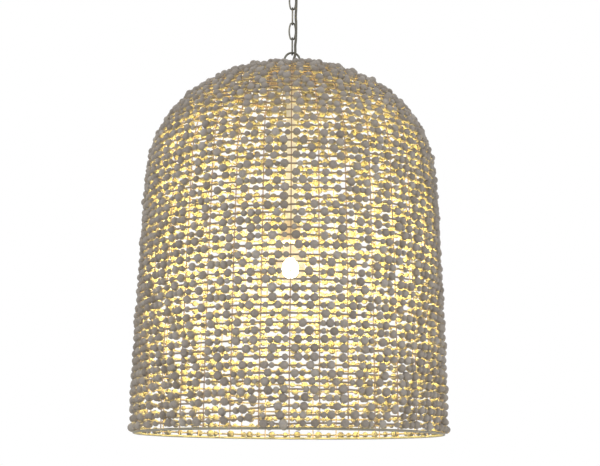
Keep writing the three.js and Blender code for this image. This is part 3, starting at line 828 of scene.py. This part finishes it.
def push_beads(places, angle, along, half, radius):
    """How far beads that run into each other have to move, as shifts in angle and along the outline."""
    tree = kdtree.KDTree(len(places))
    for i, place in enumerate(places):
        tree.insert(place, i)
    tree.balance()
    shift_turned = np.zeros(len(places))
    shift_along = np.zeros(len(places))
    for i, place in enumerate(places):
        for _, j, distance in tree.find_range(place, LARGE_BEAD * NEIGHBOUR_REACH):
            if j <= i:
                continue
            reach = half[i] + half[j] + BEAD_CLEARANCE
            if distance >= reach:
                continue
            across = (angle[j] - angle[i] + math.pi) % (2 * math.pi) - math.pi
            du = across * radius[i]
            ds = along[j] - along[i]
            span = max(math.hypot(du, ds), 1e-6)
            push = (reach - distance) / 2
            shift_turned[i] -= push * du / span / radius[i]
            shift_turned[j] += push * du / span / radius[i]
            shift_along[i] -= push * ds / span
            shift_along[j] += push * ds / span
    return shift_turned, shift_along


def ease_apart(turned, along, size):
    """Moves beads that run into each other, or into a rib, apart along the surface. Until the last rounds, each
    bead is also drawn towards the middle of its neighbours on the strand, which keeps the rows smooth."""
    half = size / 2
    for step in range(EASE_ROUNDS):
        radius = radius_at(along)
        angle = turned + START_ANGLE
        places = on_shade(along, angle, bead_lift(along, angle, half))
        shift_turned, shift_along = push_beads(places, angle, along, half, radius)
        to_rib = from_rib(angle, along)
        clear = np.sqrt(np.maximum((half + RIB_GAP) ** 2 - THREAD_LIFT**2, 0)) / radius
        short = np.clip(clear - np.abs(to_rib), 0, None) * slide_share(along)
        shift_turned += np.where(to_rib >= 0, 1, -1) * short * RIB_EASE
        turned = turned + shift_turned
        along = along + shift_along
        if step < EASE_ROUNDS - LAST_ROUNDS:
            middle = along.copy()
            middle[1:-1] = (along[:-2] + along[2:]) / 2
            along += ROW_EASE * np.where(np.abs(middle - along) < SAME_ROW, middle - along, 0)
        along = np.maximum(along, FIRST_ROW - ROW_DROP)
    return turned, along


def in_glare(along, angle):
    """Which beads lie in the oval in front of the bulb."""
    sideways = ((angle - GLARE_ANGLE + math.pi) % (2 * math.pi) - math.pi) * RIM_RADIUS
    return (sideways / (GLARE_WIDTH / 2)) ** 2 + ((along - GLARE_LENGTH) / (GLARE_HEIGHT / 2)) ** 2 < 1


def bead_template(sides=12, rings=8):
    """A ball of radius 1 about the X axis, with a rimmed hole through it."""
    edge = math.asin(BEAD_HOLE)
    mouth = HOLE_DEPTH * math.cos(edge)
    outline = [(math.cos(turn), math.sin(turn)) for turn in np.linspace(edge, math.pi - edge, rings + 1)]
    outline = [(mouth, BEAD_HOLE * HOLE_TAPER), *outline, (-mouth, BEAD_HOLE * HOLE_TAPER)]
    angle = 2 * math.pi * np.arange(sides) / sides
    rows = [[(x, r * math.cos(a), r * math.sin(a)) for a in angle] for x, r in outline]
    return np.array(rows).reshape(-1, 3), grid_faces(len(outline), sides, False)


def thread_path(turned, along, lift):
    """The strand's centre line: through the beads, and where none is near, through a point at each rib and one
    in the middle of each bay. Returns its lengths along the outline, angles and lifts."""
    first = math.ceil((turned[0] + START_ANGLE) / (BAY / 2))
    last = math.floor((turned[-1] + START_ANGLE) / (BAY / 2))
    at_ribs = np.arange(first, last + 1) * BAY / 2 - START_ANGLE
    after = np.clip(np.searchsorted(turned, at_ribs), 1, len(turned) - 1)
    nearest = np.minimum(np.abs(turned[after] - at_ribs), np.abs(at_ribs - turned[after - 1]))
    rib_along = np.interp(at_ribs, turned, along)
    free = nearest * radius_at(rib_along) > LARGE_BEAD / 2
    at_ribs, rib_along = at_ribs[free], rib_along[free]
    rib_lift = THREAD_LIFT + chord_lift(rib_along, at_ribs + START_ANGLE)
    merged = np.concatenate([turned, at_ribs])
    order = np.argsort(merged)
    merged = merged[order]
    path_along = np.concatenate([along, rib_along])[order]
    path_lift = np.concatenate([lift, rib_lift])[order]
    keep = np.concatenate([[True], np.diff(merged) * radius_at(path_along[1:]) > 0.001])
    return path_along[keep], merged[keep] + START_ANGLE, path_lift[keep]


def place_bead(template, centre, ahead, size):
    """One bead's points: threaded on the strand, leaning and shaped a little by chance."""
    x_axis = ahead + LEAN_SPREAD * random.standard_normal(3)
    x_axis /= np.linalg.norm(x_axis)
    y_axis = np.cross(random.standard_normal(3), x_axis)
    y_axis /= np.linalg.norm(y_axis)
    axes = np.array([x_axis, y_axis, np.cross(x_axis, y_axis)])
    shape = size / 2 * np.array([BEAD_LENGTH, 1, 1]) * (1 + SHAPE_SPREAD * random.standard_normal(3))
    return (template * shape) @ axes + centre


def build_strands(bead_wood, wire):
    """The winding's beads and wire, cut into strands with equal numbers of beads."""
    turned, along, size = string_beads()
    turned, along = ease_apart(turned, along, size)
    order = np.argsort(turned)
    order = order[~in_glare(along[order], turned[order] + START_ANGLE)]
    turned, along, size = turned[order], along[order], size[order]
    angle = turned + START_ANGLE
    wander = BEAD_WANDER * np.maximum(random.standard_normal(len(size)), LEAST_WANDER)
    lift = bead_lift(along, angle, size / 2) + wander
    centres = on_shade(along, angle, lift)
    ahead = np.gradient(centres, axis=0)
    ahead /= np.linalg.norm(ahead, axis=1)[:, None]
    tone = np.clip(0.5 + TONE_SPREAD * random.standard_normal(len(size)), 0, 1)
    template, template_faces = bead_template()
    shares = np.linspace(0, len(size), STRAND_COUNT + 1).astype(int)
    print("beads:", len(size), "turns:", round(float(turned[-1]) / 2 / math.pi, 1))
    for strand, (first, last) in enumerate(zip(shares[:-1], shares[1:]), 1):
        vertices = [place_bead(template, centres[i], ahead[i], size[i]) for i in range(first, last)]
        faces = [template_faces + k * len(template) for k in range(last - first)]
        mesh = np.concatenate(vertices), np.concatenate(faces)
        name, node = f"strand_{strand}_beads", f"bead_strand_{strand}"
        beads = add_piece(name, *mesh, bead_wood, "shade", "bead_wood", (node,), BEAD_CREASE)
        attribute = beads.data.attributes.new("tone", "FLOAT", "POINT")
        attribute.data.foreach_set("value", np.repeat(tone[first:last], len(template)))
        # The wire runs on to the next strand's first bead.
        threaded = slice(first, last + 1)
        path = thread_path(turned[threaded], along[threaded], lift[threaded])
        tube = sweep(on_shade(*path), THREAD / 2, 6)
        add_piece(f"strand_{strand}_wire", *tube, wire, "shade", "cage_paint")


# Chain, loops and cord


def link_path(low_z, high_z, in_xz):
    """The centre line of an oval link between two heights, in the XZ or the YZ plane: bowed sides that run
    into tight ends. Returns its points and its middle height."""
    half_width = (LINK_WIDTH - LINK_WIRE) / 2
    end_rise = (high_z - low_z - LINK_WIRE) / 2 - LINK_END
    bow = half_width - LINK_END
    side_centre = (end_rise**2 - bow**2) / (2 * bow)
    side_radius = side_centre + half_width
    meeting = math.atan2(end_rise, side_centre)
    one_side = []
    for angle in np.linspace(-meeting, meeting, 17)[:-1]:
        one_side.append((side_radius * math.cos(angle) - side_centre, side_radius * math.sin(angle)))
    for angle in np.linspace(meeting, math.pi - meeting, 17)[:-1]:
        one_side.append((LINK_END * math.cos(angle), end_rise + LINK_END * math.sin(angle)))
    flat = one_side + [(-x, -z) for x, z in one_side]
    middle = (low_z + high_z) / 2
    return np.array([(x, 0, middle + z) if in_xz else (0, x, middle + z) for x, z in flat]), middle


def build_chain(material):
    """Four links, each with its weld halfway down one side."""
    for i in range(1, 5):
        name = f"chain_link_{i}"
        low, high = node_box(name)
        in_xz = high[0] - low[0] > high[1] - low[1]
        points, middle = link_path(low[2], high[2], in_xz)
        across = points[:, 0] if in_xz else points[:, 1]
        at_weld = (np.abs(points[:, 2] - middle) < 0.0005) & (across < 0)
        radii = LINK_WIRE / 2 * np.where(at_weld, WELD_SWELL, 1)
        link = sweep(points, radii, 20, closed=True)
        add_piece(f"link_{i}_wire", *link, material, f"link_{i}", "bronze", (name,))


def node_boss_end(node, centre, way):
    """Where a loop's boss ends, read from the node's points that lie on the boss's radius."""
    points = np.array([v.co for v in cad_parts[node].data.vertices])
    out = np.hypot(points[:, 0], points[:, 1])
    far = (points[:, 2] - centre) * way
    on_boss = (np.abs(out - BOSS_RADIUS) < 0.0004) & (far > LOOP_DIAMETER / 2)
    return centre + way * far[on_boss].max()


def loop_piece(name, node, body, in_xz, way, material):
    """A ring on a boss and a threaded shank, which point up (way 1) or down (way -1) from the ring."""
    low, high = node_box(node)
    ring_end, shank_end = (low[2], high[2]) if way == 1 else (high[2], low[2])
    centre = ring_end + way * LOOP_DIAMETER / 2
    wire_radius = (LOOP_DIAMETER - LOOP_WIRE) / 2
    angle = 2 * math.pi * np.arange(72) / 72
    ring = [(wire_radius * math.cos(a), 0, centre + wire_radius * math.sin(a)) for a in angle]
    if not in_xz:
        ring = [(0, x, z) for x, _, z in ring]
    boss_start = centre + way * (wire_radius - LOOP_WIRE / 2 - 0.001)
    boss_end = node_boss_end(node, centre, way)
    boss = [(LOOP_BORE, boss_start), (BOSS_RADIUS, boss_start), (BOSS_RADIUS, boss_end)]
    shank = [(SHANK_RADIUS, boss_end)]
    pitch = (shank_end - boss_end) / SHANK_THREADS
    for k in range(SHANK_THREADS):
        shank.append((SHANK_RADIUS - SHANK_THREAD_DEPTH, boss_end + pitch * (k + 0.4)))
        shank.append((SHANK_RADIUS, boss_end + pitch * (k + 0.9)))
    shank += [(SHANK_RADIUS - 0.0005, shank_end), (LOOP_BORE, shank_end)]
    body_shape = lathe(rounded(boss, 0.0012, closed=False) + shank, 64)
    parts = [sweep(ring, LOOP_WIRE / 2, 20, closed=True), body_shape]
    add_piece(name, *joined(parts), material, body, "bronze", (node,), LOOP_CREASE)


# The cord's route beside the chain, in millimetres
CORD_ROUTE = [
    (0, 0, -1), (0, 0, -12), (0, 0, -24), (0, 0, -36),
    (0.1, 0, -43), (1.7, -0.6, -48.5), (4.5, -2, -54.5), (6.9, -3.8, -60.5),
    (7.6, -5, -66.5), (7.7, -5.2, -73), (7.9, -5.3, -80), (8, -5.3, -86),
    (7.9, -5.3, -93), (7.7, -5.2, -99.5), (7.5, -5, -105.5), (7.1, -3.4, -111),
    (7, -2.4, -117), (7.1, -3.4, -123), (7.6, -5, -128.5), (7.8, -5.2, -134.5),
    (7.9, -5.3, -142), (8, -5.3, -149), (7.9, -5.3, -157), (7.7, -5.2, -165),
    (7.5, -5.1, -172.5), (6.7, -3.6, -179), (6.4, -3.2, -185), (6.5, -4.6, -191),
    (6.6, -5.8, -197), (6.3, -5.6, -202.5), (5.2, -4.3, -208.5), (3.2, -2.6, -214.5),
    (1.1, -0.9, -220), (0.1, 0, -225), (0, 0, -231), (0, 0, -237),
]


def spline(points, per_span):
    """A smooth curve through points."""
    points = np.asarray(points, float)
    padded = np.concatenate([[2 * points[0] - points[1]], points, [2 * points[-1] - points[-2]]])
    out = []
    for i in range(len(points) - 1):
        p0, p1, p2, p3 = padded[i : i + 4]
        square = 2 * p0 - 5 * p1 + 4 * p2 - p3
        cube = 3 * p1 - p0 - 3 * p2 + p3
        for t in np.arange(per_span) / per_span:
            out.append(0.5 * (2 * p1 + (p2 - p0) * t + square * t**2 + cube * t**3))
    out.append(points[-1])
    return np.array(out)


def build_cord(material):
    """One length of cord for each joint that it crosses, put in no body, and the length inside the stem."""
    route = spline(np.array(CORD_ROUTE) * MM, 6)
    for i in range(5):
        node = f"cord_{i + 1}"
        low, high = node_box(node)
        top = high[2] + (CORD_OVERLAP if i else 0)
        points = route[(route[:, 2] <= top) & (route[:, 2] >= low[2] - CORD_OVERLAP)]
        tube = sweep(points, CORD / 2, 16)
        piece = add_piece(f"cord_length_{i + 1}", *tube, material, None, None)
        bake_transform(piece)
        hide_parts(node)
    low, high = node_box("cord_in_stem")
    inner = sweep([(0, 0, z) for z in np.linspace(high[2], low[2], 40)], CORD / 2, 16)
    add_piece("cord_in_stem_length", *inner, material, "shade", "cord_cover", ("cord_in_stem",))


# Turned pieces


def turned_piece(name, node, outline, material, body, slot, segments):
    add_piece(name, *lathe(outline, segments), material, body, slot, (node,), TURNED_CREASE)


def build_canopy(bronze):
    """The canopy's domed bowl with its upright band, and the grooved collar that holds it up."""
    low, high = node_box("canopy")
    radius, height = high[0], high[2] - low[2]
    flat, band = 0.013, 0.003
    outer, inner = [(HOLE, -height)], [(HOLE, SHEET - height)]
    for turn in np.linspace(math.pi / 2, 0, 30):
        r = flat + (radius - flat) * math.cos(turn)
        z = -band - (height - band) * math.sin(turn)
        outer.append((r, z))
        inner.append((r - SHEET * math.cos(turn), z + SHEET * math.sin(turn)))
    inset = radius - band
    rim = [(radius, -band), (radius, 0), (inset, 0), (inset, -SHEET), (radius - SHEET, -SHEET)]
    bowl = outer + rounded(rim, 0.0005, closed=False) + inner[::-1]
    turned_piece("canopy_bowl", "canopy", bowl, bronze, "ceiling_mount", "bronze", 128)
    low, high = node_box("screw_collar")
    edge, bevel = high[0], (high[2] - low[2]) / 5
    collar = [(HOLE, high[2]), (edge, high[2]), (edge, low[2] + bevel), (edge - bevel, low[2]), (HOLE, low[2])]
    vertices, faces = lathe(rounded(collar, 0.0009), 96)
    # Fine upright grooves round the collar for the fingers.
    out = np.hypot(vertices[:, 0], vertices[:, 1])
    in_groove = np.cos(COLLAR_GROOVES * np.arctan2(vertices[:, 1], vertices[:, 0])) < 0
    vertices[(out > edge - 0.0003) & in_groove, :2] *= 1 - COLLAR_GROOVE_DEPTH / edge
    add_piece("collar_grip", vertices, faces, bronze, "ceiling_mount", "bronze", ("screw_collar",))


def build_crown(bronze, cage):
    """The cap over the crown, a shallow parabola of sheet, and the flanged plate that carries the cage."""
    low, high = node_box("crown_cap")
    edge, fall, start = high[0], high[2] - low[2] - SHEET, 0.007
    outer, inner = [(HOLE, high[2])], [(HOLE, high[2] - SHEET)]
    for share in np.linspace(0, 1, 24):
        r = start + (edge - start) * share
        z = high[2] - fall * share * share
        slope = -2 * fall * share / (edge - start)
        across = np.array([-slope, 1]) / math.hypot(slope, 1)
        outer.append((r, z))
        inner.append((r - SHEET * across[0], z - SHEET * across[1]))
    cap = [*outer, (edge, low[2]), (edge - SHEET, low[2]), *inner[::-1]]
    turned_piece("crown_cap_dome", "crown_cap", cap, bronze, "shade", "bronze", 96)
    low, high = node_box("crown_plate")
    edge, thick = high[0], 0.002
    under = high[2] - thick
    plate = [(HOLE, high[2]), (edge, high[2]), (edge, low[2]), (edge - thick, low[2]), (edge - thick, under)]
    plate = rounded([*plate, (HOLE, under)], 0.0008)
    turned_piece("crown_plate_disc", "crown_plate", plate, cage, "shade", "cage_paint", 120)


def build_lamp_holder(pale, stem_white, brass, glass, glow):
    """Coupling, stem, socket cap and socket shell, and the bulb in them."""
    for name, bore in (("stem_coupling", HOLE), ("socket_stem", STEM_BORE)):
        low, high = node_box(name)
        outline = rounded([(bore, low[2]), (high[0], low[2]), (high[0], high[2]), (bore, high[2])], 0.0005)
        turned_piece(f"{name}_tube", name, outline, stem_white, "shade", "pale_paint", 64)
    low, high = node_box("socket_cap")
    edge, tall, bore = high[0], high[2] - low[2], SOCKET_CAP_BORE
    start = bore + SHELL_SKIN
    outer, inner = [(bore, high[2])], [(bore, high[2] - SHELL_SKIN)]
    for share in np.linspace(0, 1, 24):
        bend = share * math.pi / 2
        r = start + (edge - start) * math.sin(bend)
        z = high[2] - tall * share
        under = min(z - SHELL_SKIN * math.cos(bend), high[2] - SHELL_SKIN)
        outer.append((r, z))
        inner.append((max(r - SHELL_SKIN * 1.02, bore), under))
    inner[-1] = (edge - SHELL_SKIN, low[2])
    turned_piece("socket_cap_bell", "socket_cap", outer + inner[::-1], pale, "shade", "pale_paint", 80)
    low, high = node_box("socket_shell")
    edge = high[0]
    shell = [(edge - SHELL_SKIN, high[2]), (edge - SHELL_GROOVE_DEPTH, high[2])]
    # Rolled grooves run round the shell from its top to near its mouth.
    top, mouth, whole = high[2] - 0.003, low[2] + 0.006, 2 * math.pi * SHELL_GROOVES
    for turn in np.linspace(0, whole, SHELL_GROOVES * 10 + 1):
        shell.append((edge - SHELL_GROOVE_DEPTH * (1 - math.cos(turn)), top - (top - mouth) * turn / whole))
    shell += [(edge, low[2] + 0.0006), (edge - 0.0006, low[2]), (edge - SHELL_SKIN, low[2])]
    turned_piece("socket_shell_tube", "socket_shell", shell, pale, "shade", "pale_paint", 80)
    build_screw_cap(brass)
    build_bulb(glass, glow)


def build_screw_cap(brass):
    """The bulb's cap, with its rolled screw thread."""
    low, high = node_box("bulb_cap")
    edge, top = high[0], high[2]
    shoulder = top - 0.005
    outline = [(0, top), (0.0045, top), (0.005, top - 0.0006), (0.005, top - 0.0022)]
    outline.append((edge - 0.002, shoulder + 0.0008))
    for t in np.linspace(0, SCREW_TURNS, SCREW_TURNS * 8 + 1):
        z = shoulder - (shoulder - low[2] - 0.003) * t / SCREW_TURNS
        outline.append((edge - SCREW_DEPTH + SCREW_DEPTH * math.cos(2 * math.pi * t), z))
    outline += [(edge, low[2]), (0, low[2])]
    turned_piece("bulb_cap_thread", "bulb_cap", outline, brass, "shade", "brass", 64)


def build_bulb(glass, glow):
    """The pear-shaped glass, and the burning middle: an egg of light, a little narrower at its top."""
    low, high = node_box("bulb_glass")
    radius = high[0]
    ball = low[2] + radius
    outer = [(0, low[2])]
    for turn in np.linspace(-math.pi / 2, NECK_ANGLE, 40)[1:]:
        outer.append((radius * math.cos(turn), ball + radius * math.sin(turn)))
    start = np.array(outer[-1])
    end = np.array([NECK_RADIUS, high[2]])
    first = start + np.array([-math.sin(NECK_ANGLE), math.cos(NECK_ANGLE)]) * BALL_HANDLE
    second = end - np.array([0, NECK_HANDLE])
    for t in np.linspace(0, 1, 20)[1:]:
        point = (1 - t) ** 3 * start + 3 * (1 - t) ** 2 * t * first + 3 * (1 - t) * t**2 * second + t**3 * end
        outer.append(tuple(point))
    inner = [(max(r - GLASS_SKIN, 0), z + (GLASS_SKIN if r < 0.001 else 0)) for r, z in outer]
    turned_piece("bulb_envelope", "bulb_glass", outer + inner[::-1], glass, "shade", "lamp_glass", 64)
    egg = [(0, ball - GLOW_DROP - GLOW_HEIGHT / 2)]
    for turn in np.linspace(-math.pi / 2, math.pi / 2, 28)[1:-1]:
        across = GLOW_RADIUS * math.cos(turn) * (1 - GLOW_TAPER * math.sin(turn))
        egg.append((across, ball - GLOW_DROP + GLOW_HEIGHT / 2 * math.sin(turn)))
    egg.append((0, ball - GLOW_DROP + GLOW_HEIGHT / 2))
    add_piece("bulb_glow", *lathe(egg, 32), glow, "shade", "lamp_glass")


def dress_nodes(bronze, brass, pale):
    """Nodes whose own shape is kept get a material only."""
    kept = {"mounting_strap": bronze, "socket_liner": pale}
    for name in ("strap_screw_1", "strap_screw_2", "strap_nut", "crown_nut", "socket_screw_shell"):
        kept[name] = brass
    for name, material in kept.items():
        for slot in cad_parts[name].material_slots:
            slot.material = material


def build_floor():
    """A wide pale floor below the hung light."""
    z = cad_bounds[0][2] - FLOOR_DROP
    vertices = [(x * FLOOR_REACH, y * FLOOR_REACH, z) for x, y in ((-1, -1), (1, -1), (1, 1), (-1, 1))]
    floor = add_piece("floor", vertices, [(0, 1, 2, 3)], floor_material(), None, None)


make_camera()
build_cord(cord_material())
make_lights()
make_world()
build_floor()

bronze = bronze_material()
cage = cage_material()
pale = enamel_material("cream_enamel", (0.64, 0.54, 0.38), (0.75, 0.65, 0.49))
stem_white = enamel_material("stem_enamel", (0.82, 0.8, 0.7), (0.88, 0.86, 0.77))
brass = brass_material()
build_cage(cage, binding_material())
build_hoop(cage)
build_strands(bead_material(), thread_material())
build_chain(bronze)
loop_piece("canopy_ring", "canopy_loop", "ceiling_mount", False, 1, bronze)
loop_piece("shade_ring", "shade_loop", "shade", True, -1, bronze)
build_canopy(bronze)
build_crown(bronze, cage)
build_lamp_holder(pale, stem_white, brass, bulb_material(), glow_material())
dress_nodes(bronze, brass, pale)

scene.view_settings.view_transform = "Standard"
